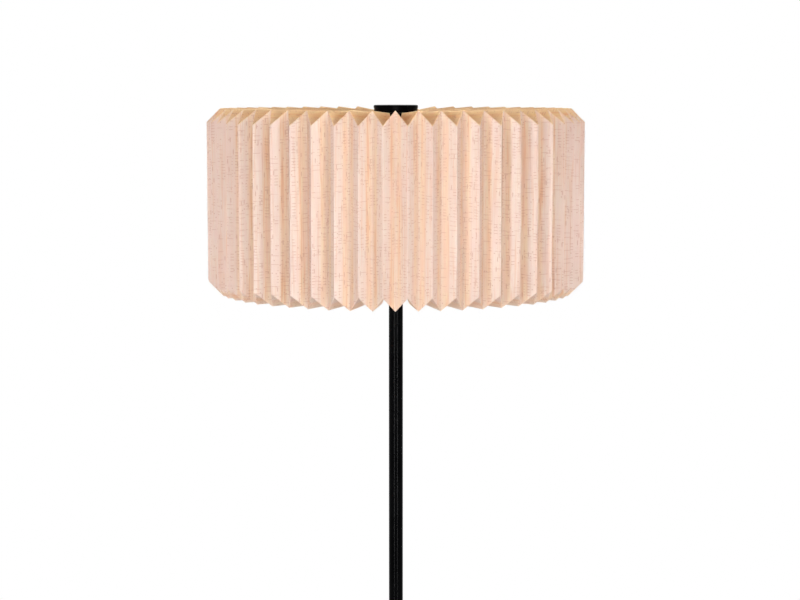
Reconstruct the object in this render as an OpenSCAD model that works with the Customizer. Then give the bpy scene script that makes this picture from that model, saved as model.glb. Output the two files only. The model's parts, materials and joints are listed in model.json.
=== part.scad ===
// Floor lamp with a pleated paper drum shade.
// Millimetres. The origin is on the pole's axis at floor level, +Z is up,
// and the front of the lamp faces -Y.

/* [Base] */
// Diameter of the round base plate
base_d = 280; // [240:2:340]
// Thickness of the base plate
base_t = 12; // [10:0.5:16]
// Radius of the base plate's rounded top edge
base_edge_r = 2; // [0.5:0.5:4]
// Diameter of the recess under the base plate
recess_d = 64; // [56:1:90]
// Depth of that recess
recess_depth = 8; // [7:0.25:9]
// Width of the cord channel from the recess to the rim
channel_w = 9; // [8:0.5:12]
// Depth of that channel
channel_depth = 7; // [6.75:0.25:8]
// Thickness of the cover under the recess
cover_t = 1.5; // [1:0.25:2]
// Width of the ledge that the cover is screwed to
cover_ledge = 8; // [7:0.5:12]
// Number of screws in the cover
cover_screws = 3; // [3:1:6]
// Thread diameter of the cover's screws
cover_screw_d = 3; // [2.5:0.5:3]
// Length of the cover's screws under the head
cover_screw_len = 6; // [4:0.5:7]
// Number of pads that the lamp stands on
pad_count = 6; // [3:1:8]
// Diameter of a pad
pad_d = 22; // [16:1:28]
// Thickness of a pad
pad_t = 3; // [2:0.5:4]
// Distance from the rim to the pads' centres
pad_inset = 22; // [18:1:30]
// Length of the cord gland inside the rim
gland_len = 14; // [8:1:20]
// Bore of the cord gland
gland_bore = 5.6; // [5:0.2:5.6]
// Thickness of the gland's lip outside the rim
gland_lip = 1.5; // [1:0.25:2.5]

/* [Pole] */
// Outside diameter of the pole and of the stem
pole_d = 17; // [15:0.5:20]
// Wall of the pole's tubes
pole_wall = 1.2; // [0.8:0.1:1.5]
// Length of each of the three pole sections
tube_len = 452.5; // [350:2.5:500]
// Diameter of the hollow thread that joins the sections
thread_d = 10; // [9:0.5:10.5]
// Bore through the hollow threads, for the cord
thread_bore = 7; // [6:0.25:7.5]
// Length of the threaded sleeve in the foot of a section
sleeve_len = 16; // [12:1:24]
// Length of the stud's plain part, pressed into the head of a section
stud_grip = 20; // [12:1:30]
// Length of thread that stands out of a section's head
stud_reach = 12; // [11:0.5:12]
// Outside diameter of the collar round the pole's foot
collar_d = 32; // [26:1:44]
// Height of the collar
collar_h = 8; // [5:0.5:14]
// Width across the flats of the nuts on the hollow threads
nut_af = 14; // [13:0.5:17]
// Thickness of those nuts
nut_t = 3; // [2.5:0.25:3.5]
// Diameter of the washer under the foot nut
foot_washer_d = 24; // [18:1:32]
// Thickness of that washer
foot_washer_t = 1.5; // [1:0.25:2]

/* [Cluster] */
// Diameter of the drum that carries the two lampholders
cluster_d = 46; // [42:1:56]
// Height of the drum without its lid
cluster_h = 28; // [28:0.5:36]
// Wall and floor of the drum
cluster_wall = 3; // [2.5:0.25:3.5]
// Thickness of the drum's lid
lid_t = 3; // [2:0.25:4]
// Length of the stem from the lid to the washer under the shade
stem_len = 86.5; // [78:0.5:110]
// Diameter of the stud at the stem's head
stud_d = 8; // [6:0.5:8]
// Length of the plug in the stem's head
plug_len = 18; // [12:1:28]
// Side of the square connector block in the drum
connector_w = 14; // [12:0.5:16]
// Height of that block
connector_h = 8; // [6:0.5:9]

/* [Lampholders] */
// Gap between the drum and a lampholder's cap
holder_gap = 2; // [1:0.5:5]
// Outside diameter of a lampholder
holder_d = 40; // [38:0.5:46]
// Diameter of the lampholder's cap where it meets the thread
holder_neck_d = 20; // [18:0.5:26]
// Length of the lampholder's cap
holder_cap_len = 20; // [18:0.5:26]
// Length of the lampholder's shell
holder_shell_len = 32; // [28:0.5:36]
// Wall of the cap and shell
holder_wall = 1.6; // [1.2:0.1:2]
// Length of the porcelain insert
insert_len = 12; // [10:0.5:13]
// Inside diameter of the brass screw shell
socket_d = 26.6; // [26.5:0.1:27]
// Wall of the screw shell
socket_wall = 0.5; // [0.4:0.1:0.8]
// Length of the screw shell
socket_len = 22; // [18:0.5:24]
// Length of each hollow thread between the drum and a lampholder
side_thread_len = 14; // [11:0.5:15]
// Diameter of the lead to each lampholder
lead_d = 4.5; // [3:0.25:5]

/* [Bulbs] */
// Diameter of the bulb's globe
bulb_d = 60; // [45:1:66]
// Length of the bulb's glass beyond its metal base
bulb_glass_len = 80; // [72:1:90]
// Wall of the glass
glass_t = 1; // [0.8:0.1:1.5]
// Diameter of the bulb's metal base
bulb_base_d = 26.2; // [26:0.1:26.3]
// Length of the base's threaded part
bulb_base_len = 22; // [20:0.5:26]
// Pitch of the base's thread
bulb_pitch = 3.63; // [3:0.01:4]

/* [Shade] */
// Radius of the outer folds
shade_r = 225; // [200:1:250]
// Height from the lowest folds to the highest
shade_h = 220; // [200:1:260]
// Number of pleats, a multiple of the number of sheets
pleats = 52; // [44:4:60]
// Radial depth of a pleat in the wall
fold_depth = 16; // [12:0.5:20]
// Height of the slanting fold between the wall and the band
fold_rise = 16.5; // [12:0.5:20]
// Radius of the opening in the top
top_open_r = 60; // [50:1:90]
// Radius of the opening in the bottom
bottom_open_r = 130; // [110:1:160]
// How far the top's ridges sink on their way in
ridge_dip = 3.3; // [0:0.1:5]
// Width of the zone in which they sink
dip_run = 50; // [30:1:70]
// Thickness of the paper
paper_t = 0.5; // [0.3:0.05:0.8]

/* [Carrier] */
// Diameter of the hub plate under the cap
hub_d = 52; // [40:1:56]
// Thickness of the hub plate
hub_t = 5; // [4:0.25:7]
// Diameter of the rings' wire
wire_d = 3.5; // [2.5:0.25:4]
// Width of the carrier's strip arms
arm_w = 6; // [4:0.5:8]
// Thickness of the arms
arm_t = 2; // [1.5:0.1:2.5]
// Length of an arm's level foot, inside the ring
arm_foot = 12; // [6:0.5:16]
// Radius of the ring under the top's pleats
ring_r = 62; // [61:0.5:80]
// Radius of the ring in the bottom's pleats
low_ring_r = 133; // [132:1:150]
// Diameter of the washer under the hub
washer_d = 24; // [20:0.5:26]
// Thickness of that washer
washer_t = 1.5; // [1:0.25:2.5]

/* [Cap] */
// Diameter of the cap
cap_d = 53; // [50:1:70]
// Thickness of the cap's disc
cap_t = 3.5; // [3:0.25:6]
// Radius of the cap's rounded edges
cap_edge_r = 1.4; // [0.2:0.1:1.4]
// Diameter of the boss under the cap
boss_d = 14; // [13:0.25:15]
// Depth of the blind hole above the cap's underside
cap_hole = 2.2; // [1.5:0.1:2.5]

/* [Hidden] */
$fn = 64;

// Clearances
press_gap = 0.05;   // a pressed or screwed piece, all round
seat_gap = 0.3;     // a soft or sprung piece from its seat
turn_gap = 0.05;    // the shade's hub round the cap's boss
fit_gap = 0.1;      // a piece laid in a recess or channel
eps = 1;            // how far a cut runs past a face

// Finishes
black_steel = "#1b1b1d";
zinc = "#b9bcc0";
brass = "#c9a453";
porcelain = "#efece4";
black_plastic = "#222224";
paper_colour = "#efcdb4";

// Heights from the floor up
base_z = pad_t;
base_top = base_z + base_t;
recess_top = base_z + recess_depth;
cluster_z = base_top + 3 * tube_len;
lid_z = cluster_z + cluster_h;
stem_z = lid_z + lid_t;
stem_top = stem_z + stem_len;
hub_z = stem_top + washer_t;
cap_z = hub_z + hub_t;
lamp_h = cap_z + cap_t;
holder_z = cluster_z + (cluster_wall + cluster_h) / 2;

// Tubes and hollow threads
tube_bore = pole_d - 2 * pole_wall;
grip_d = tube_bore - 2 * press_gap;
tapped_d = thread_d + 2 * press_gap;
inner_reach = cluster_wall + nut_t + 1;

// Lampholder, measured along its axis from the pole's axis
drum_r = cluster_d / 2;
holder_u = drum_r + holder_gap;
shell_u = holder_u + holder_cap_len;
shell_end = shell_u + holder_shell_len;
insert_u = shell_u - insert_len / 2;
socket_u = insert_u + insert_len;
holder_bore = holder_d - 2 * holder_wall;
holder_floor = 3;
nipple_u = drum_r - cluster_wall - 1;
contact_t = 0.8;
contact_rise = 1.6;
contact_tip = socket_u + contact_t + contact_rise;

// Bulb, on the same axis
tip_t = 2.4;
bulb_u = contact_tip + seat_gap;
bulb_shell_u = bulb_u + tip_t;
glass_u = bulb_shell_u + bulb_base_len;
base_wall = 0.8;    // of the rolled metal, over the depth of its thread
globe_r = bulb_d / 2;
globe_u = glass_u + bulb_glass_len - globe_r;
neck_r = bulb_base_d / 2 - base_wall - press_gap;
neck_sink = 4;

// Shade
sheets = 4;
arms = 4;
pleat_a = 360 / pleats;
half_a = pleat_a / 2;
sheet_folds = 2 * pleats / sheets;
seam_pleat = 6;     // the first seam's inner fold, counted from the front
inner_r = shade_r - fold_depth;
ridge_drop = 0.1;   // the highest folds from the cap's underside
leaf_w = norm([shade_r * tan(half_a), fold_rise]);
fold_top = cap_z - ridge_drop - band_lift(inner_r);
fold_bottom = fold_top - shade_h;
wall_leaf = norm([shade_r * cos(half_a) - inner_r, shade_r * sin(half_a)]);
wall_lift = paper_t / 2 * wall_leaf / (shade_r * sin(half_a));
top_radii = [top_open_r, inner_r - dip_run, inner_r - dip_run / 2];

// Carrier
wire_r = wire_d / 2;
rim_r = ring_r - wire_r;
ring_z = fold_top - ridge_dip - band_depth(ring_r) - band_lift(ring_r) - seat_gap - wire_r;
low_ring_z = fold_bottom + band_depth(low_ring_r) + band_lift(low_ring_r) + seat_gap + wire_r;
arm_in = washer_d / 2 + fit_gap;
arm_end = sqrt(pow(rim_r, 2) - pow(arm_w / 2, 2)) - press_gap;
arm_z = hub_z - press_gap - arm_t / 2;

// Cap
insert_wall = 1.5;
insert_d = stud_d + 2 * press_gap + 2 * insert_wall;

// Depth of the pleats in the top and bottom bands at a radius
function band_depth(r) = sqrt(pow(leaf_w, 2) - pow(r * tan(half_a), 2));

// Half the paper's thickness in a band, measured up and down
function band_lift(r) = paper_t / 2 * leaf_w / (r * tan(half_a));

// How far the top's ridges have sunk at a radius: steeper at the rim, then level
function dip_at(r) =
    let (run = min(1, max(0, (inner_r - r) / dip_run)))
    ridge_dip * (1 - pow(1 - run, 2));

// Outline of one fold from the top opening round to the bottom one, as [radius, height].
// Even folds are the inner ones. side is 1 on the paper's outer face and -1 on its inner.
function fold_line(fold, side) =
    let (outer = fold % 2 != 0, r = outer ? shade_r : inner_r, rise = outer ? fold_rise : 0)
    concat(
        [for (q = top_radii)
            [q, fold_top - dip_at(q) - (outer ? band_depth(q) : 0) + side * band_lift(q)]],
        [[r + side * wall_lift, fold_top - rise + side * band_lift(r)]],
        [[r + side * wall_lift, fold_bottom + rise - side * band_lift(r)]],
        [[bottom_open_r,
          fold_bottom + (outer ? band_depth(bottom_open_r) : 0) - side * band_lift(bottom_open_r)]]
    );

// Points of one fold in space, each outer point followed by its inner one
function fold_points(fold) =
    let (a = fold * half_a - 90, out = fold_line(fold, 1), in = fold_line(fold, -1))
    [for (i = [0 : len(out) - 1], q = [out[i], in[i]]) [q[0] * cos(a), q[0] * sin(a), q[1]]];

// Two triangles over four corners that run round clockwise, seen from outside
function quad(a, b, c, d) = [[a, b, c], [a, c, d]];

// A folded sheet between two inner folds
module paper_sheet(first_fold) {
    rows = len(top_radii) + 3;
    points = [for (k = [0 : sheet_folds]) each fold_points(first_fold + k)];
    function at(k, i, inner) = 2 * (k * rows + i) + inner;
    faces = [
        for (k = [0 : sheet_folds - 1]) each [
            for (i = [0 : rows - 2]) each concat(
                quad(at(k, i, 0), at(k + 1, i, 0), at(k + 1, i + 1, 0), at(k, i + 1, 0)),
                quad(at(k, i + 1, 1), at(k + 1, i + 1, 1), at(k + 1, i, 1), at(k, i, 1))
            ),
            each quad(at(k + 1, 0, 0), at(k, 0, 0), at(k, 0, 1), at(k + 1, 0, 1)),
            each quad(at(k, rows - 1, 0), at(k + 1, rows - 1, 0),
                      at(k + 1, rows - 1, 1), at(k, rows - 1, 1))
        ],
        for (i = [0 : rows - 2]) each concat(
            quad(at(0, i, 0), at(0, i + 1, 0), at(0, i + 1, 1), at(0, i, 1)),
            quad(at(sheet_folds, i + 1, 0), at(sheet_folds, i, 0),
                 at(sheet_folds, i, 1), at(sheet_folds, i + 1, 1))
        )
    ];
    color(paper_colour) polyhedron(points, faces, convexity = 10);
}

// Pipe that stands on z = 0
module pipe(outer_d, bore_d, length) {
    difference() {
        cylinder(d = outer_d, h = length);
        translate([0, 0, -eps]) cylinder(d = bore_d, h = length + 2 * eps);
    }
}

// Hexagon nut on a hollow thread, its lower face on z = 0
module hollow_nut() {
    difference() {
        cylinder(d = nut_af / cos(30), h = nut_t, $fn = 6);
        translate([0, 0, -eps]) cylinder(d = tapped_d, h = nut_t + 2 * eps);
    }
}

// Round disc with a rounded upper edge, as a profile to turn
module disc_profile(r, t, edge) {
    square([r - edge, t]);
    square([r, t - edge]);
    translate([r - edge, t - edge]) intersection() {
        circle(edge);
        square(edge);
    }
}

// ---- Base ----

cover_d = recess_d + 2 * cover_ledge;
cover_screw_r = recess_d / 2 + cover_ledge / 2;
cover_screw_head_d = 1.9 * cover_screw_d;
cover_screw_head_t = 0.5 * cover_screw_d;

// Places on the cover's screw circle, clear of the cord channel
module at_cover_screws() {
    for (k = [0 : cover_screws - 1])
        rotate(k * 360 / cover_screws - 90) translate([cover_screw_r, 0, 0]) children();
}

module base_plate() {
    color(black_steel) difference() {
        translate([0, 0, base_z]) rotate_extrude($fn = 128)
            disc_profile(base_d / 2, base_t, base_edge_r);
        translate([0, 0, base_z - eps]) cylinder(d = recess_d, h = recess_depth + eps);
        translate([0, 0, base_z - eps]) cylinder(d = cover_d, h = cover_t + eps);
        translate([-channel_w / 2, 0, base_z - eps])
            cube([channel_w, base_d / 2 + eps, channel_depth + eps]);
        cylinder(d = tapped_d, h = base_top + eps);
        at_cover_screws() cylinder(d = cover_screw_d, h = base_z + cover_t + cover_screw_len);
    }
}

module base_cover() {
    color(black_steel) translate([0, 0, base_z]) difference() {
        cylinder(d = cover_d - 2 * fit_gap, h = cover_t - press_gap);
        at_cover_screws() translate([0, 0, -eps])
            cylinder(d = cover_screw_d + 2 * fit_gap, h = cover_t + 2 * eps);
    }
}

module base_cover_screws() {
    color(zinc) at_cover_screws() {
        translate([0, 0, base_z - cover_screw_head_t])
            cylinder(d = cover_screw_head_d, h = cover_screw_head_t);
        translate([0, 0, base_z])
            cylinder(d = cover_screw_d - 2 * press_gap, h = cover_screw_len);
    }
}

module foot_pads() {
    color(black_plastic) for (k = [0 : pad_count - 1])
        rotate((k + 0.5) * 360 / pad_count - 90) translate([base_d / 2 - pad_inset, 0, 0])
            cylinder(d = pad_d, h = pad_t);
}

module cord_gland() {
    gland_w = channel_w - 2 * press_gap;
    gland_h = channel_depth - press_gap;
    lip = 1.5;
    color(black_plastic) difference() {
        union() {
            translate([-gland_w / 2, base_d / 2 - gland_len, base_z])
                cube([gland_w, gland_len, gland_h]);
            translate([-gland_w / 2 - lip, base_d / 2, base_z])
                cube([gland_w + 2 * lip, gland_lip, gland_h + lip]);
        }
        translate([0, base_d / 2 - gland_len - eps, base_z + gland_h / 2]) rotate([-90, 0, 0])
            cylinder(d = gland_bore, h = gland_len + gland_lip + 2 * eps);
    }
}

module foot_washer() {
    color(zinc) translate([0, 0, recess_top - foot_washer_t])
        pipe(foot_washer_d, tapped_d, foot_washer_t);
}

module foot_nut() {
    color(zinc) translate([0, 0, recess_top - foot_washer_t - nut_t]) hollow_nut();
}

module foot_nipple() {
    low = recess_top - foot_washer_t - nut_t;
    color(zinc) translate([0, 0, low]) pipe(thread_d, thread_bore, base_top + stud_reach - low);
}

module pole_collar() {
    color(black_steel) translate([0, 0, base_top]) difference() {
        rotate_extrude() disc_profile(collar_d / 2, collar_h, base_edge_r);
        translate([0, 0, -eps]) cylinder(d = pole_d + 2 * fit_gap, h = collar_h + 2 * eps);
    }
}

// ---- Pole, its sections counted from 0 at the foot ----

module pole_tube(section) {
    color(black_steel) translate([0, 0, base_top + section * tube_len])
        pipe(pole_d, tube_bore, tube_len);
}

module pole_sleeve(section) {
    color(zinc) translate([0, 0, base_top + section * tube_len])
        pipe(grip_d, tapped_d, sleeve_len);
}

module pole_stud(section, reach) {
    head = base_top + (section + 1) * tube_len;
    color(zinc) translate([0, 0, head - stud_grip]) difference() {
        union() {
            cylinder(d = grip_d, h = stud_grip);
            cylinder(d = thread_d, h = stud_grip + reach);
        }
        translate([0, 0, -eps]) cylinder(d = thread_bore, h = stud_grip + reach + 2 * eps);
    }
}

// ---- Cluster and stem ----

module cluster_body() {
    color(black_steel) translate([0, 0, cluster_z]) difference() {
        cylinder(d = cluster_d, h = cluster_h);
        translate([0, 0, cluster_wall])
            cylinder(d = cluster_d - 2 * cluster_wall, h = cluster_h);
        translate([0, 0, -eps]) cylinder(d = tapped_d, h = cluster_wall + 2 * eps);
        translate([-drum_r - eps, 0, holder_z - cluster_z]) rotate([0, 90, 0])
            cylinder(d = tapped_d, h = cluster_d + 2 * eps);
    }
}

module cluster_nut() {
    color(zinc) translate([0, 0, cluster_z + cluster_wall]) hollow_nut();
}

module cluster_lid() {
    rim = 2;
    color(black_steel) difference() {
        union() {
            translate([0, 0, lid_z]) cylinder(d = cluster_d, h = lid_t);
            translate([0, 0, lid_z - rim])
                cylinder(d = cluster_d - 2 * cluster_wall - 2 * fit_gap, h = rim);
        }
        translate([0, 0, lid_z - rim - eps]) cylinder(d = tapped_d, h = lid_t + rim + 2 * eps);
        translate([0, 0, lid_z - rim - eps]) cylinder(d = nut_af + 2 * rim, h = rim + eps);
    }
}

module stem_nut() {
    color(zinc) translate([0, 0, lid_z - nut_t]) hollow_nut();
}

module stem_nipple() {
    color(zinc) translate([0, 0, lid_z - nut_t])
        pipe(thread_d, thread_bore, nut_t + lid_t + stud_reach);
}

module stem_sleeve() {
    color(zinc) translate([0, 0, stem_z]) pipe(grip_d, tapped_d, sleeve_len);
}

module stem_tube() {
    color(black_steel) translate([0, 0, stem_z]) pipe(pole_d, tube_bore, stem_len);
}

module stem_plug() {
    color(zinc) {
        translate([0, 0, stem_top - plug_len]) cylinder(d = grip_d, h = plug_len);
        translate([0, 0, stem_top]) cylinder(d = stud_d, h = cap_z + cap_hole - fit_gap - stem_top);
    }
}

module stem_washer() {
    color(zinc) translate([0, 0, stem_top]) pipe(washer_d, stud_d + 2 * fit_gap, washer_t);
}

module lead_connector() {
    color(porcelain) translate([-connector_w / 2, -connector_w / 2, holder_z - connector_h / 2])
        cube([connector_w, connector_w, connector_h]);
}

// ---- Lampholders and bulbs: side is -1 on the left and 1 on the right ----

// Turns what is drawn up the +Z axis to point sideways out of the drum
module sideways(side) {
    translate([0, 0, holder_z]) rotate([0, 90 * side, 0]) children();
}

module holder_lead(side) {
    color(black_plastic) sideways(side) translate([0, 0, connector_w / 2])
        cylinder(d = lead_d, h = insert_u - connector_w / 2);
}

module side_nipple(side) {
    color(zinc) sideways(side) translate([0, 0, nipple_u])
        pipe(thread_d, thread_bore, side_thread_len);
}

module holder_cap(side) {
    cone_len = insert_u - holder_u - holder_floor;
    color(black_plastic) sideways(side) translate([0, 0, holder_u]) difference() {
        union() {
            cylinder(d1 = holder_neck_d, d2 = holder_d, h = cone_len);
            translate([0, 0, cone_len]) cylinder(d = holder_d, h = holder_cap_len - cone_len);
        }
        translate([0, 0, holder_floor])
            cylinder(d1 = holder_neck_d - 2 * holder_wall, d2 = holder_bore - 2 * holder_wall,
                     h = cone_len);
        translate([0, 0, holder_floor + cone_len]) cylinder(d = holder_bore, h = holder_cap_len);
        translate([0, 0, -eps]) cylinder(d = tapped_d, h = holder_cap_len);
    }
}

module holder_insert(side) {
    color(porcelain) sideways(side) translate([0, 0, insert_u]) difference() {
        cylinder(d = holder_bore - 2 * fit_gap, h = insert_len);
        translate([0, 0, insert_len - contact_t]) cylinder(d = socket_d / 2, h = contact_t + eps);
    }
}

module holder_shell(side) {
    color(black_plastic) sideways(side) translate([0, 0, shell_u])
        pipe(holder_d, holder_bore, holder_shell_len);
}

module screw_shell(side) {
    color(brass) sideways(side) translate([0, 0, socket_u])
        pipe(socket_d + 2 * socket_wall, socket_d, socket_len);
}

module centre_contact(side) {
    color(brass) sideways(side) {
        translate([0, 0, socket_u - contact_t])
            cylinder(d = socket_d / 2 - 2 * fit_gap, h = contact_t);
        translate([0, 0, socket_u]) cylinder(d = 6, h = contact_t + contact_rise);
    }
}

module bulb_contact(side) {
    tip_d = 10;
    skirt_d = bulb_base_d - 2 * base_wall - 2 * press_gap;
    color(black_plastic) sideways(side) {
        translate([0, 0, bulb_u]) cylinder(d1 = tip_d, d2 = skirt_d, h = tip_t);
        translate([0, 0, bulb_shell_u]) cylinder(d = skirt_d, h = tip_t);
    }
}

module bulb_base(side) {
    threads = floor((bulb_base_len - 2 * bulb_pitch) / bulb_pitch);
    crest = 0.7;
    color(zinc) sideways(side) difference() {
        translate([0, 0, bulb_shell_u]) cylinder(d = bulb_base_d, h = bulb_base_len);
        translate([0, 0, bulb_shell_u - eps])
            cylinder(d = bulb_base_d - 2 * base_wall, h = bulb_base_len + 2 * eps);
        for (k = [0 : threads]) translate([0, 0, bulb_shell_u + (k + 0.75) * bulb_pitch])
            rotate_extrude() translate([bulb_base_d / 2 + crest / 2, 0]) circle(crest);
    }
}

// Outline of the glass from its foot in the base, up the neck that meets the globe
// at a tangent, and round to the tip
function glass_outline(inset) =
    let (
        rise = globe_u - glass_u,
        start = asin(globe_r / norm([neck_r, rise])) - atan2(neck_r, rise),
        r = globe_r - inset,
        foot = glass_u - neck_sink + inset,
        arcs = 14
    )
    concat(
        [[0, foot], [neck_r - inset, foot], [neck_r - inset, glass_u]],
        [for (k = [0 : arcs]) let (a = -start + k * (90 + start) / arcs)
            [r * cos(a), globe_u + r * sin(a)]]
    );

module bulb_glass(side) {
    color("white") sideways(side) rotate_extrude() difference() {
        polygon(glass_outline(0));
        polygon(glass_outline(glass_t));
    }
}

// ---- Shade ----

module carrier_hub() {
    color(black_steel) translate([0, 0, hub_z]) pipe(hub_d, boss_d + 2 * turn_gap, hub_t);
}

module carrier_arms() {
    line = [[arm_in, arm_z], [hub_d / 2, arm_z], [rim_r - arm_foot, ring_z], [arm_end, ring_z]];
    last = len(line) - 1;
    strip = [
        for (p = line) p + [0, arm_t / 2],
        for (k = [0 : last]) line[last - k] - [0, arm_t / 2]
    ];
    color(black_steel) for (k = [0 : arms - 1]) rotate([90, 0, k * 360 / arms])
        translate([0, 0, -arm_w / 2]) linear_extrude(arm_w) polygon(strip);
}

module wire_ring(r, z) {
    color(black_steel) translate([0, 0, z]) rotate_extrude($fn = 96)
        translate([r, 0]) circle(wire_r, $fn = 24);
}

// ---- Cap ----

module cap_insert() {
    color(brass) translate([0, 0, hub_z + seat_gap])
        pipe(insert_d, stud_d + 2 * press_gap, hub_t - seat_gap + cap_hole);
}

module cap_disc() {
    color(black_steel) difference() {
        union() {
            translate([0, 0, cap_z]) rotate_extrude($fn = 96)
                disc_profile(cap_d / 2, cap_t, cap_edge_r);
            translate([0, 0, hub_z + seat_gap]) cylinder(d = boss_d, h = hub_t);
        }
        translate([0, 0, hub_z + seat_gap - eps])
            cylinder(d = insert_d + 2 * press_gap, h = hub_t - seat_gap + cap_hole + eps);
    }
}

base_plate();
base_cover();
base_cover_screws();
foot_pads();
cord_gland();
foot_nipple();
foot_washer();
foot_nut();
pole_collar();
pole_tube(0);  // pole_lower
pole_tube(1);  // pole_middle
pole_tube(2);  // pole_upper
pole_sleeve(0);  // sleeve_lower
pole_sleeve(1);  // sleeve_middle
pole_sleeve(2);  // sleeve_upper
pole_stud(0, stud_reach);  // stud_lower
pole_stud(1, stud_reach);  // stud_middle
pole_stud(2, inner_reach);  // stud_upper
cluster_body();
cluster_nut();
cluster_lid();
lead_connector();
stem_nipple();
stem_nut();
stem_sleeve();
stem_tube();
stem_plug();
stem_washer();
holder_lead(-1);  // holder_lead_left
holder_lead(1);  // holder_lead_right
side_nipple(-1);  // side_nipple_left
side_nipple(1);  // side_nipple_right
holder_cap(-1);  // holder_cap_left
holder_cap(1);  // holder_cap_right
holder_insert(-1);  // holder_insert_left
holder_insert(1);  // holder_insert_right
holder_shell(-1);  // holder_shell_left
holder_shell(1);  // holder_shell_right
screw_shell(-1);  // screw_shell_left
screw_shell(1);  // screw_shell_right
centre_contact(-1);  // centre_contact_left
centre_contact(1);  // centre_contact_right
bulb_contact(-1);  // bulb_contact_left
bulb_contact(1);  // bulb_contact_right
bulb_base(-1);  // bulb_base_left
bulb_base(1);  // bulb_base_right
bulb_glass(-1);  // bulb_glass_left
bulb_glass(1);  // bulb_glass_right
carrier_hub();
carrier_arms();
wire_ring(ring_r, ring_z);  // carrier_ring
wire_ring(low_ring_r, low_ring_z);  // bottom_ring
paper_sheet(2 * seam_pleat);  // paper_sheet_1
paper_sheet(2 * seam_pleat + sheet_folds);  // paper_sheet_2
paper_sheet(2 * seam_pleat + 2 * sheet_folds);  // paper_sheet_3
paper_sheet(2 * seam_pleat + 3 * sheet_folds);  // paper_sheet_4
cap_insert();
cap_disc();
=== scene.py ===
"""Looks of a floor lamp with a pleated paper drum shade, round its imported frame.

Metres, with the origin on the pole's axis at floor level. The front faces -Y.
"""

import json
import math
import random

import bpy
import numpy as np
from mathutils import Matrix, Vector

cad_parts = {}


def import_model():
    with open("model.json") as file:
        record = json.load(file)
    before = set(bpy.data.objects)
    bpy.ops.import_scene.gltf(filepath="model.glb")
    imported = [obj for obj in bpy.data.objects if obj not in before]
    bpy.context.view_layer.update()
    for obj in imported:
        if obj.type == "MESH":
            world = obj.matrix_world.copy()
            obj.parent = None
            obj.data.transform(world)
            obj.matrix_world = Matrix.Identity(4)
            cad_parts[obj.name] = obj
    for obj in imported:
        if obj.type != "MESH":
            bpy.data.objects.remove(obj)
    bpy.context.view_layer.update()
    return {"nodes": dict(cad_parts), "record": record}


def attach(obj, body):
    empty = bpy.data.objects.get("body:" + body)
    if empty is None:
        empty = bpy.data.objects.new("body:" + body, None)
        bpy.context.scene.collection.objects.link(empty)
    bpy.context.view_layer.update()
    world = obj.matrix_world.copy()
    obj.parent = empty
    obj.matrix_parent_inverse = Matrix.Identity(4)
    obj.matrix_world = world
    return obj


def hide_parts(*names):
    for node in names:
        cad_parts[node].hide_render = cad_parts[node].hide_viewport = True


MM = 0.001

# Shade, in millimetres, as the solids have it
PLEATS = 52
SHEETS = 4
# The inner fold at which the first sheet starts
SEAM_FOLD = 12
SHADE_R = 225
FOLD_DEPTH = 16
FOLD_RISE = 16.5
SHADE_H = 220
TOP_OPEN_R = 60
BOTTOM_OPEN_R = 130
PAPER_T = 0.5
FOLD_TOP = 1495.977
INNER_R = SHADE_R - FOLD_DEPTH
HALF_A = math.pi / PLEATS
LEAF_W = math.hypot(SHADE_R * math.tan(HALF_A), FOLD_RISE)
FOLD_BOTTOM = FOLD_TOP - SHADE_H
LEAVES = 2 * PLEATS // SHEETS

# How far the top band's ridges and valleys have sunk at the opening
RIDGE_DIP = 5.4
VALLEY_DIP = 3.3

# The folds of the wall wander a little: round the drum, in leaves, and outwards
WANDER_ROUND = (-0.012, 0.012)
WANDER_OUT = (-0.25, 0.1)
# Only what lies further out than this wanders outwards
WANDER_FROM_R = 200
# How far the middle of a leaf bows outwards
LEAF_BOW = (-0.15, 0.45)
PAPER_SEED = 7
# Rounding of the creases, and of the corners between wall and bands, as the share of
# the way to the middle of the neighbouring points
CREASE_ROUNDING = 0.35
CORNER_ROUNDING = 0.25
# Edges with a sharper turn than this stay sharp in the shading
SHARP_ANGLE = math.radians(35)

# Where the top band's painted glow, a warm yellow tint, fades out along an inner fold,
# in metres, and how much further on an outer one
TONED_TO = (0.1497, 0.148)
TONED_FURTHER = 0.0166

# Places across a leaf, from one fold to the next, close together at the creases
ACROSS = (0, 0.03, 0.12, 0.3, 0.5, 0.7, 0.88, 0.97)
# Rows along a leaf: in the top band, down the wall, and in the bottom band
TOP_ROWS = (0, 0.1, 0.22, 0.34, 0.46, 0.58, 0.68, 0.78, 0.87, 0.94, 0.98, 0.995)
WALL_ROWS = (0, 0.004, 0.03, 0.12, 0.3, 0.5, 0.7, 0.88, 0.97, 0.996)
LOW_ROWS = (0, 0.008, 0.04, 0.2, 0.45, 0.7, 0.9, 1)


# ---- Materials -------------------------------------------------------------


class Value:
    """A number, colour or vector in a material, which plain arithmetic joins."""

    def __init__(self, finish, socket):
        self.finish, self.socket = finish, socket

    def __add__(self, other):
        return self.finish.maths("ADD", self, other)

    def __sub__(self, other):
        return self.finish.maths("SUBTRACT", self, other)

    def __rsub__(self, other):
        return self.finish.maths("SUBTRACT", other, self)

    def __mul__(self, other):
        return self.finish.maths("MULTIPLY", self, other)

    def __truediv__(self, other):
        return self.finish.maths("DIVIDE", self, other)

    def __lt__(self, other):
        return self.finish.maths("LESS_THAN", self, other)

    def __mod__(self, other):
        return self.finish.maths("FLOORED_MODULO", self, other)

    def __abs__(self):
        return self.finish.maths("ABSOLUTE", self)

    __radd__, __rmul__ = __add__, __mul__


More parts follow.
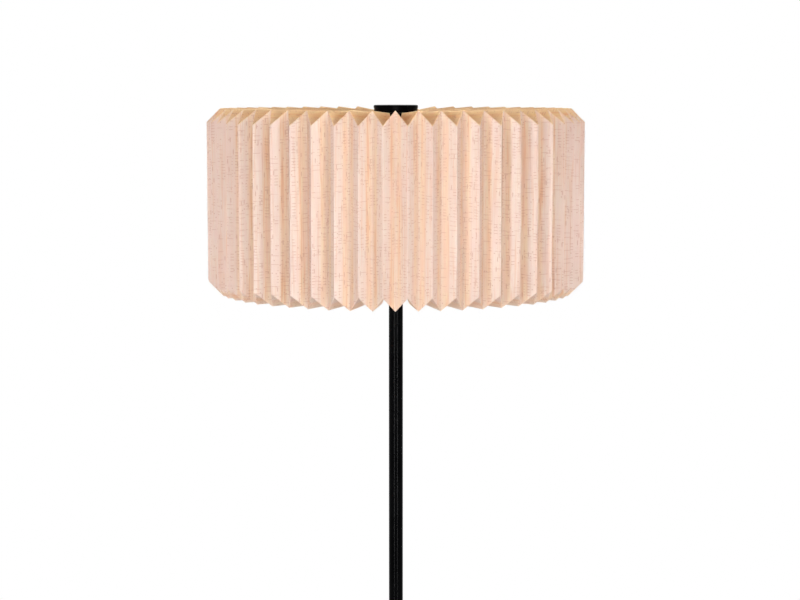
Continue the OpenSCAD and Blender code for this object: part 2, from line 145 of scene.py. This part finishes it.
class Finish:
    """A material under way. Arithmetic on its Values adds Math nodes."""

    def __init__(self, name):
        self.material = bpy.data.materials.new(name)
        self.material.use_nodes = True
        self.tree = self.material.node_tree
        self.tree.nodes.clear()

    def node(self, kind, settings, sockets, output=None):
        """Adds a node with these settings and inputs, and gives its first output or
        the one named."""
        made = self.tree.nodes.new("ShaderNode" + kind)
        stops = settings.pop("stops", None)
        for name, value in settings.items():
            setattr(made, name, value)
        if stops:
            ramp = made.color_ramp.elements
            while len(ramp) < len(stops):
                ramp.new(0.5)
            for element, (place, tone) in zip(ramp, stops):
                element.position, element.color = place, (*tone, 1)
        for name, value in sockets.items():
            socket = next(
                s for s in made.inputs if s.enabled and name in (s.identifier, s.name)
            )
            if isinstance(value, Value):
                self.tree.links.new(value.socket, socket)
            else:
                socket.default_value = value
        shown = [s for s in made.outputs if s.enabled and output in (None, s.name)]
        return Value(self, shown[0])

    def maths(self, operation, *values):
        sockets = dict(zip(("Value", "Value_001"), values))
        return self.node("Math", {"operation": operation}, sockets)

    def whole(self, value):
        return self.maths("FLOOR", value)

    def between(self, value, low, high):
        """0 up to low, 1 from high on, and smooth in between. High may be the lower."""
        return self.node(
            "MapRange",
            {"interpolation_type": "SMOOTHSTEP"},
            {"Value": value, "From Min": low, "From Max": high},
        )

    def mix(self, a, b, share, blend="MIX"):
        """Colour a, turning into colour b as share goes from 0 to 1."""
        return self.node(
            "Mix",
            {"data_type": "RGBA", "blend_type": blend},
            {"Factor_Float": share, "A_Color": a, "B_Color": b},
        )

    def tinted(self, body, tint, share=1.0):
        """The body colour seen through a tint."""
        return self.mix(body, tint, share, "MULTIPLY")

    def place(self):
        return self.node("TexCoord", {}, {}, "Object")

    def scaled(self, place, x, y):
        return self.node(
            "VectorMath",
            {"operation": "MULTIPLY"},
            {"Vector": place, "Vector_001": (x, y, 1)},
        )

    def noise(self, place, scale=1.0, detail=2.0, roughness=0.5, warp=0.0):
        return self.node(
            "TexNoise",
            {},
            {
                "Vector": place,
                "Scale": scale,
                "Detail": detail,
                "Roughness": roughness,
                "Distortion": warp,
            },
        )

    def bump(self, height, depth):
        return self.node("Bump", {}, {"Height": height, "Distance": depth})

    def coat(self, **sockets):
        """The Principled shader. Its sockets' names are given with _ for a space."""
        return self.node(
            "BsdfPrincipled", {}, {k.replace("_", " "): v for k, v in sockets.items()}
        )

    def let_through(self, front, light, share):
        """The front shader, which lets that share of the light through."""
        through = self.node("BsdfTranslucent", {}, {"Color": light})
        return self.node(
            "MixShader", {}, {"Fac": share, "Shader": front, "Shader_001": through}
        )

    def done(self, shader):
        out = self.tree.nodes.new("ShaderNodeOutputMaterial")
        self.tree.links.new(shader.socket, out.inputs["Surface"])
        return self.material


def srgb(r, g, b):
    """A colour given as 0 to 255, in the linear form that shaders take."""
    return tuple(
        c / 12.92 if c <= 0.04045 else ((c + 0.055) / 1.055) ** 2.4
        for c in (r / 255, g / 255, b / 255)
    )


def colour(r, g, b):
    return (*srgb(r, g, b), 1)


def powder_coat():
    """Satin black powder coat, with its fine orange peel."""
    f = Finish("satin_black_powder_coat")
    peel = f.noise(f.place(), 900, detail=3, roughness=0.6)
    cloud = f.noise(f.place(), 35)
    shade = f.mix(colour(2, 2, 3), colour(6, 6, 7), f.between(cloud, 0.35, 0.65))
    return f.done(
        f.coat(
            Base_Color=shade,
            Roughness=0.15 + 0.03 * peel,
            Specular_IOR_Level=0.04,
            Normal=f.bump(peel, 0.00001),
        )
    )


def metal(name, light, dark, rough):
    """Bare or plated metal: its colour clouds a little and its polish is uneven."""
    f = Finish(name)
    place = f.place()
    cloud = f.noise(place, 60, detail=4, roughness=0.6)
    fine = f.noise(place, 700)
    return f.done(
        f.coat(
            Base_Color=f.mix(dark, light, f.between(cloud, 0.3, 0.7)),
            Metallic=1.0,
            Roughness=rough + 0.12 * cloud,
            Normal=f.bump(fine, 0.00002),
        )
    )


def moulded(name, light, dark, rough, grain, depth):
    """Moulded plastic or rubber with a fine grain."""
    f = Finish(name)
    place = f.place()
    fine, cloud = f.noise(place, grain, detail=3), f.noise(place, 40)
    return f.done(
        f.coat(
            Base_Color=f.mix(dark, light, f.between(cloud, 0.3, 0.7)),
            Roughness=rough + 0.1 * fine,
            Normal=f.bump(fine, depth),
        )
    )


def porcelain():
    """Off-white porcelain with a few dark pits under its glaze."""
    f = Finish("glazed_porcelain")
    place = f.place()
    cloud = f.noise(place, 120, detail=3)
    pits = f.between(f.noise(place, 1500, detail=1), 0.7, 0.78)
    body = f.mix(colour(236, 232, 222), colour(244, 241, 233), cloud)
    return f.done(
        f.coat(
            Base_Color=f.mix(body, colour(150, 138, 120), 0.5 * pits),
            Roughness=0.18 + 0.1 * cloud,
            Coat_Weight=0.6,
            Coat_Roughness=0.08,
            Normal=f.bump(cloud, 0.0002),
        )
    )


def opal_glass():
    """White opal glass, which glows through a little."""
    f = Finish("opal_bulb_glass")
    place = f.place()
    cloud = f.noise(place, 22, detail=3)
    body = f.mix(colour(240, 238, 232), colour(248, 247, 243), cloud)
    front = f.coat(
        Base_Color=body,
        Roughness=0.16 + 0.08 * cloud,
        Coat_Weight=0.4,
        Coat_Roughness=0.1,
        Normal=f.bump(f.noise(place, 60), 0.0002),
    )
    return f.done(f.let_through(front, colour(246, 244, 239), 0.3))


def pleated_paper():
    """Peach paper with an upright wood-like grain, reddish flecks and pale creases.

    The attribute "cut" holds the place on the flat paper: the fold's number across,
    then metres along the fold from the top opening, then 1 on the inside face, which
    is tinted warmer as painted glow.
    """
    f = Finish("grained_paper")
    cut = f.node("Attribute", {"attribute_name": "cut"}, {}, "Vector")
    fold, along, inside_face = (
        f.node("SeparateXYZ", {}, {"Vector": cut}, axis) for axis in "XYZ"
    )
    across = fold * (LEAF_W * MM)
    flat = f.node("CombineXYZ", {}, {"X": across, "Y": along})
    outer = 1 - abs(fold % 2.0 - 1)

    # Upright bands of cream, peach and pink, with finer streaks over them
    bands = f.noise(f.scaled(flat, 210, 7), warp=0.25)
    body = f.node(
        "ValToRGB",
        {
            "stops": [
                (0.36, srgb(243, 214, 184)),
                (0.43, srgb(255, 250, 233)),
                (0.50, srgb(250, 231, 217)),
                (0.55, srgb(255, 251, 236)),
                (0.63, srgb(244, 214, 187)),
            ]
        },
        {"Fac": bands},
    )
    patch = f.noise(f.scaled(flat, 75, 20))
    streak = f.noise(f.scaled(flat, 640, 18), detail=3, roughness=0.6)
    body = f.mix(body, colour(252, 234, 224), 0.6 * f.between(patch, 0.5, 0.64))
    body = f.mix(body, colour(244, 217, 197), 0.5 * f.between(streak, 0.54, 0.68))
    body = f.mix(body, colour(255, 250, 242), 0.5 * f.between(streak, 0.46, 0.34))

    # Painted light and shade across each leaf: greyer pink beside its outer crease, and
    # warmer and lighter beside the inner one
    body = f.mix(body, colour(248, 242, 239), 0.45 * f.between(outer, 0.42, 0.6))
    painted_inner_light = f.tinted(body, colour(255, 250, 240))
    body = f.mix(body, painted_inner_light, f.between(outer, 0.5, 0.4))
    body = f.mix(body, colour(255, 251, 243), 0.5 * f.between(outer, 0.3, 0.04))

    # Painted glow: the top band is tinted warm yellow, for light that comes through the
    # paper and bounces in its valleys
    band = f.between(along - TONED_FURTHER * outer, *TONED_TO)
    body = f.mix(body, f.tinted(body, colour(255, 245, 210)), band)

    # Bark: clusters of short level rungs, upright dashes and dots
    drift = f.noise(f.scaled(flat, 45, 12), detail=1)

    def cells(wide, tall, stagger, chance, fill=1.0):
        """1 inside about that chance of the cells, fading towards each cell's edge. A
        mark takes up fill of its cell's height."""
        column = f.whole(across / wide)
        slip = f.node(
            "TexWhiteNoise", {"noise_dimensions": "1D"}, {"W": column}, "Value"
        )
        high = (along + 0.004 * drift) / tall + stagger * slip
        cell = f.node("CombineXYZ", {}, {"X": f.whole(high), "Y": column})
        luck = f.node(
            "TexWhiteNoise", {"noise_dimensions": "2D"}, {"Vector": cell}, "Value"
        )
        ragged = 0.25 * f.noise(f.scaled(flat, 900, 900), detail=1)
        u = abs(across / wide % 1.0 - 0.5) + ragged
        v = abs(high % 1.0 - 0.5) / fill + ragged
        inside = f.between(u, 0.56, 0.34) * f.between(v, 0.54, 0.3)
        return inside * (luck < chance)

    cluster = f.between(f.noise(f.scaled(flat, 70, 26), detail=1), 0.46, 0.56)
    rungs = cells(0.0068, 0.0033, stagger=0, chance=0.55, fill=0.4) * cluster
    checks = cells(0.0145, 0.0049, stagger=3, chance=0.34, fill=0.27)
    checks = 0.8 * (checks * (1 - 0.6 * cluster))
    dashes = cells(0.0017, 0.0085, stagger=9, chance=0.035)
    dots = cells(0.0023, 0.0021, stagger=5, chance=0.035)
    flecks = rungs
    for marks in (checks, dots, dashes):
        flecks = f.maths("MAXIMUM", flecks, marks)
    hairs = f.between(f.noise(f.scaled(flat, 950, 8), detail=1), 0.66, 0.74)
    body = f.mix(body, colour(208, 160, 132), 0.6 * hairs)
    body = f.mix(body, colour(188, 138, 114), 0.5 * flecks)

    crease = f.between(outer, 0.97, 0.995)
    body = f.mix(body, colour(255, 250, 246), 0.6 * crease)

    fibre = f.noise(f.scaled(flat, 2600, 400), detail=3, roughness=0.6)
    front = f.coat(
        # Painted glow: the inside face is tinted warmer, for light that bounces inside
        # the shade
        Base_Color=f.tinted(body, colour(255, 232, 203), inside_face),
        Roughness=0.86 + 0.08 * streak,
        Specular_IOR_Level=0.2,
        Normal=f.bump(streak + 0.5 * fibre - 0.6 * flecks, 0.00012),
    )
    return f.done(f.let_through(front, colour(255, 226, 198), 0.34))


def dress_frame(frame):
    """Gives each solid of the frame the finish of its material slot."""
    finishes = {
        "black_steel": powder_coat(),
        "zinc_steel": metal(
            "black_zinc_plate", colour(64, 65, 69), colour(46, 47, 51), rough=0.3
        ),
        "brass": metal(
            "drawn_brass", colour(214, 176, 104), colour(190, 146, 78), rough=0.24
        ),
        "bulb_metal": metal(
            "rolled_aluminium", colour(214, 215, 217), colour(186, 188, 192), rough=0.22
        ),
        "pad_rubber": moulded(
            "foot_pad_rubber",
            colour(40, 40, 41),
            colour(30, 30, 31),
            rough=0.72,
            grain=1300,
            depth=0.00008,
        ),
        "black_plastic": moulded(
            "black_phenolic",
            colour(34, 33, 33),
            colour(25, 24, 25),
            rough=0.3,
            grain=1600,
            depth=0.00003,
        ),
        "white_plastic": moulded(
            "white_nylon",
            colour(236, 233, 226),
            colour(226, 222, 213),
            rough=0.42,
            grain=1500,
            depth=0.00004,
        ),
        "porcelain": porcelain(),
        "opal_glass": opal_glass(),
    }
    slot_of = {p["node"]: p["material_slot"] for p in frame["record"]["subparts"]}
    for name, node in frame["nodes"].items():
        slot = slot_of[name]
        if slot in finishes:
            node.data.materials.clear()
            node.data.materials.append(finishes[slot])


# ---- Shade -----------------------------------------------------------------


def clear_selection():
    bpy.ops.object.select_all(action="DESELECT")


def apply_modifier(piece, kind, **settings):
    made = piece.modifiers.new(kind.lower(), kind)
    for name, value in settings.items():
        setattr(made, name, value)
    bpy.context.view_layer.objects.active = piece
    bpy.ops.object.modifier_apply(modifier=made.name)


def band_depth(r):
    """How far below its ridges a band's valleys lie at radius r."""
    return math.sqrt(LEAF_W**2 - (r * math.tan(HALF_A)) ** 2)


def dip_at(r, deepest):
    """How far a fold of the top band has sunk at radius r, on its way in."""
    return deepest * max(0, (INNER_R - r) / (INNER_R - TOP_OPEN_R))


def fold_line(outer):
    """One fold from the top opening round to the bottom one, as [radius, height]."""
    rim = SHADE_R if outer else INNER_R
    rise = FOLD_RISE if outer else 0
    high, low = FOLD_TOP - rise, FOLD_BOTTOM + rise
    line = []
    for s in TOP_ROWS:
        r = TOP_OPEN_R + s * (rim - TOP_OPEN_R)
        if outer:
            line.append((r, FOLD_TOP - dip_at(r, VALLEY_DIP) - band_depth(r)))
        else:
            line.append((r, FOLD_TOP - dip_at(r, RIDGE_DIP)))
    for s in WALL_ROWS:
        line.append((rim, high + s * (low - high)))
    for s in LOW_ROWS:
        r = rim + s * (BOTTOM_OPEN_R - rim)
        line.append((r, FOLD_BOTTOM + (band_depth(r) if outer else 0)))
    return np.array(line)


def fold_points(k, line, turn, out):
    """The points in space of fold k, which wanders by turn and out."""
    a = (k + turn) * HALF_A - math.pi / 2
    r = line[:, 0] + out * (line[:, 0] > WANDER_FROM_R)
    return np.stack([r * math.cos(a), r * math.sin(a), line[:, 1]], axis=1)


def eased(points, before, after, share):
    """The points, moved by that share towards the middle of their neighbours."""
    return points + share * ((before + after) / 2 - points)


def paper_grid():
    """The whole shade's paper as points [across, along]: leaves bowed a little and
    creases rounded off. Even folds are the inner ones."""
    rng = random.Random(PAPER_SEED)
    count = 2 * PLEATS
    wander = [
        (rng.uniform(*WANDER_ROUND), rng.uniform(*WANDER_OUT)) for _ in range(count)
    ]
    bow = [rng.uniform(*LEAF_BOW) for _ in range(count)]
    lines = fold_line(False), fold_line(True)
    folds = [fold_points(k, lines[k % 2], *wander[k]) for k in range(count)]
    top, wall = len(TOP_ROWS), len(WALL_ROWS)
    bowing = np.zeros(len(lines[0]))
    bowing[top : top + wall] = np.sin(np.pi * np.array(WALL_ROWS))
    columns = []
    for k in range(count):
        a, b = folds[k], folds[(k + 1) % count]
        normal = np.cross(b - a, (0, 0, 1))
        normal /= np.linalg.norm(normal, axis=1)[:, None]
        for u in ACROSS:
            belly = bow[k] * math.sin(math.pi * u) * bowing
            columns.append(a + u * (b - a) + belly[:, None] * normal)
    sharp = np.array(columns)
    grid = sharp.copy()
    creases = np.arange(0, len(grid), len(ACROSS))
    after = (creases + 1) % len(grid)
    grid[creases] = eased(
        sharp[creases], sharp[creases - 1], sharp[after], CREASE_ROUNDING
    )
    for row in (top, top + wall):
        grid[:, row] = eased(
            grid[:, row], grid[:, row - 1], grid[:, row + 1], CORNER_ROUNDING
        )
    return grid


def mark_inside_face(sheet, count):
    """Tells the paper's inner face from its outer one, which lies further out. The
    sheet's first points, as many as count, are one face and the rest the other."""
    mesh = sheet.data
    points = np.empty(len(mesh.vertices) * 3, np.float32)
    mesh.vertices.foreach_get("co", points)
    radius = np.hypot(*points.reshape(-1, 3)[:, :2].T)
    inner = np.zeros(len(radius), bool)
    inner[count:] = True
    if radius[inner].mean() > radius[~inner].mean():
        inner = ~inner
    cut = np.empty(len(radius) * 3, np.float32)
    attribute = mesh.attributes["cut"]
    attribute.data.foreach_get("vector", cut)
    cut = cut.reshape(-1, 3)
    cut[:, 2] = inner
    attribute.data.foreach_set("vector", cut.ravel())


def paper_sheet(number, grid, paper):
    """One sheet, from the flat cut: a grid of its leaves is folded into place and
    given its thickness."""
    per, rows = len(ACROSS), grid.shape[1]
    across = LEAVES * per + 1
    first_fold = SEAM_FOLD + number * LEAVES
    clear_selection()
    bpy.ops.mesh.primitive_grid_add(
        x_subdivisions=across - 1, y_subdivisions=rows - 1, size=1
    )
    sheet = bpy.context.object
    sheet.name = sheet.data.name = f"folded_sheet_{number + 1}"
    columns = np.arange(first_fold * per, first_fold * per + across) % len(grid)
    leaves = grid[columns]
    points = leaves[:, ::-1].transpose(1, 0, 2) * MM
    sheet.data.vertices.foreach_set("co", points.astype(np.float32).ravel())

    along = np.zeros((across, rows))
    along[:, 1:] = np.cumsum(np.linalg.norm(np.diff(leaves, axis=1), axis=2), axis=1)
    along = along[:, ::-1].T * MM
    places = np.array([k + u for k in range(LEAVES) for u in ACROSS] + [LEAVES])
    cut = np.zeros((rows, across, 3), np.float32)
    cut[:, :, 0] = places + first_fold
    cut[:, :, 1] = along
    attribute = sheet.data.attributes.new("cut", "FLOAT_VECTOR", "POINT")
    attribute.data.foreach_set("vector", cut.ravel())
    sheet.data.update()

    bpy.context.view_layer.objects.active = sheet
    bpy.ops.object.mode_set(mode="EDIT")
    bpy.ops.mesh.select_all(action="SELECT")
    bpy.ops.mesh.normals_make_consistent(inside=False)
    bpy.ops.object.mode_set(mode="OBJECT")
    apply_modifier(
        sheet, "SOLIDIFY", thickness=PAPER_T * MM, offset=0, use_even_offset=True
    )
    mark_inside_face(sheet, rows * across)
    sheet.data.materials.append(paper)
    bpy.ops.object.shade_smooth_by_angle(angle=SHARP_ANGLE)
    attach(sheet, "shade")
    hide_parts(f"paper_sheet_{number + 1}")


def pleated_shade():
    grid, paper = paper_grid(), pleated_paper()
    for number in range(SHEETS):
        paper_sheet(number, grid, paper)


# ---- Studio ----------------------------------------------------------------


def studio_floor():
    """A round, pale, matt floor."""
    clear_selection()
    bpy.ops.mesh.primitive_circle_add(vertices=96, radius=2.1, fill_type="NGON")
    floor = bpy.context.object
    floor.name = "studio_floor"
    f = Finish("pale_floor")
    cloud = f.noise(f.place(), 3)
    tone = f.mix(colour(243, 243, 242), colour(247, 247, 246), cloud)
    floor.data.materials.append(f.done(f.coat(Base_Color=tone, Roughness=0.9)))


def studio_world(level, overhead):
    """White where the camera sees it, straight or through glass, and elsewhere a soft
    light that is weaker overhead."""
    world = bpy.context.scene.world or bpy.data.worlds.new("studio")
    bpy.context.scene.world = world
    world.use_nodes = True
    nodes, links = world.node_tree.nodes, world.node_tree.links
    nodes.clear()
    path, seen, sky, height, fade, light, white, mixed, out = (
        nodes.new("ShaderNode" + kind)
        for kind in (
            "LightPath",
            "Math",
            "TexCoord",
            "SeparateXYZ",
            "MapRange",
            "Background",
            "Background",
            "MixShader",
            "OutputWorld",
        )
    )
    seen.operation = "MAXIMUM"
    fades = {"From Min": -0.1, "From Max": 0.8, "To Min": level, "To Max": overhead}
    for name, value in fades.items():
        fade.inputs[name].default_value = value
    for background in (light, white):
        background.inputs["Color"].default_value = (1, 1, 1, 1)
        background.inputs["Strength"].default_value = 1
    for source, target in (
        (path.outputs["Is Camera Ray"], seen.inputs[0]),
        (path.outputs["Is Transmission Ray"], seen.inputs[1]),
        (sky.outputs["Generated"], height.inputs[0]),
        (height.outputs["Z"], fade.inputs["Value"]),
        (fade.outputs[0], light.inputs["Strength"]),
        (seen.outputs[0], mixed.inputs["Fac"]),
        (light.outputs[0], mixed.inputs[1]),
        (white.outputs[0], mixed.inputs[2]),
        (mixed.outputs[0], out.inputs["Surface"]),
    ):
        links.new(source, target)


def softbox(name, place, target, size, power, spread=180, glossy=False):
    """A soft square light. A spread under 180 degrees is a grid in front of it, and
    glossy is whether shiny pieces mirror it."""
    clear_selection()
    bpy.ops.object.light_add(type="AREA", location=place)
    lamp = bpy.context.object
    lamp.name = name
    lamp.data.shape = "RECTANGLE"
    lamp.data.size, lamp.data.size_y = size
    lamp.data.energy = power
    lamp.data.spread = math.radians(spread)
    aim = Vector(target) - Vector(place)
    lamp.rotation_euler = aim.to_track_quat("-Z", "Y").to_euler()
    lamp.visible_glossy = glossy


def studio_lamps():
    """Soft boxes in front and behind, and narrow gridded lights that rake across the
    pleats from above and from both sides. The pole mirrors the strips."""
    middle = (0, 0, 1.39)
    softbox("front_box", (0, -3.3, 1.5), middle, (1.6, 1.2), 16, glossy=True)
    softbox("top_box", (0, -1, 3.3), (0, -0.13, 1.49), (0.3, 0.3), 0.06, 7)
    for side, name in ((-1, "left"), (1, "right")):
        # Place and target are those of the right side
        for kind, place, target, size, power, spread in (
            ("key", (1.85, -3, 1.75), (-0.15, -0.1, 1.39), (0.36, 0.6), 0.22, 7),
            ("rim", (2.3, -2.3, 1.6), (0.21, -0.06, 1.39), (0.15, 0.5), 0.08, 4),
            ("strip", (1.4, -2.95, 0.5), (0, 0, 0.9), (0.17, 0.9), 0.46, 30),
            ("back", (2.1, 2.5, 1.5), middle, (1.4, 1.4), 48, 180),
        ):
            softbox(
                f"{name}_{kind}",
                (side * place[0], *place[1:]),
                (side * target[0], *target[1:]),
                size,
                power,
                spread,
                glossy=kind == "strip",
            )


def photo_camera():
    """The camera stands a little above the shade and looks slightly down at it."""
    clear_selection()
    looking_down = 6.35
    bpy.ops.object.camera_add(
        location=(0.005, -2.33, 1.525), rotation=(math.radians(90 - looking_down), 0, 0)
    )
    camera = bpy.context.object
    camera.data.lens, camera.data.sensor_width = 87.4, 36
    camera.data.clip_start, camera.data.clip_end = 0.05, 50
    bpy.context.scene.camera = camera


def main():
    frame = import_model()
    photo_camera()
    studio_world(0.47, 0.43)
    studio_lamps()
    studio_floor()
    dress_frame(frame)
    pleated_shade()
    bpy.context.scene.view_settings.view_transform = "Standard"


main()
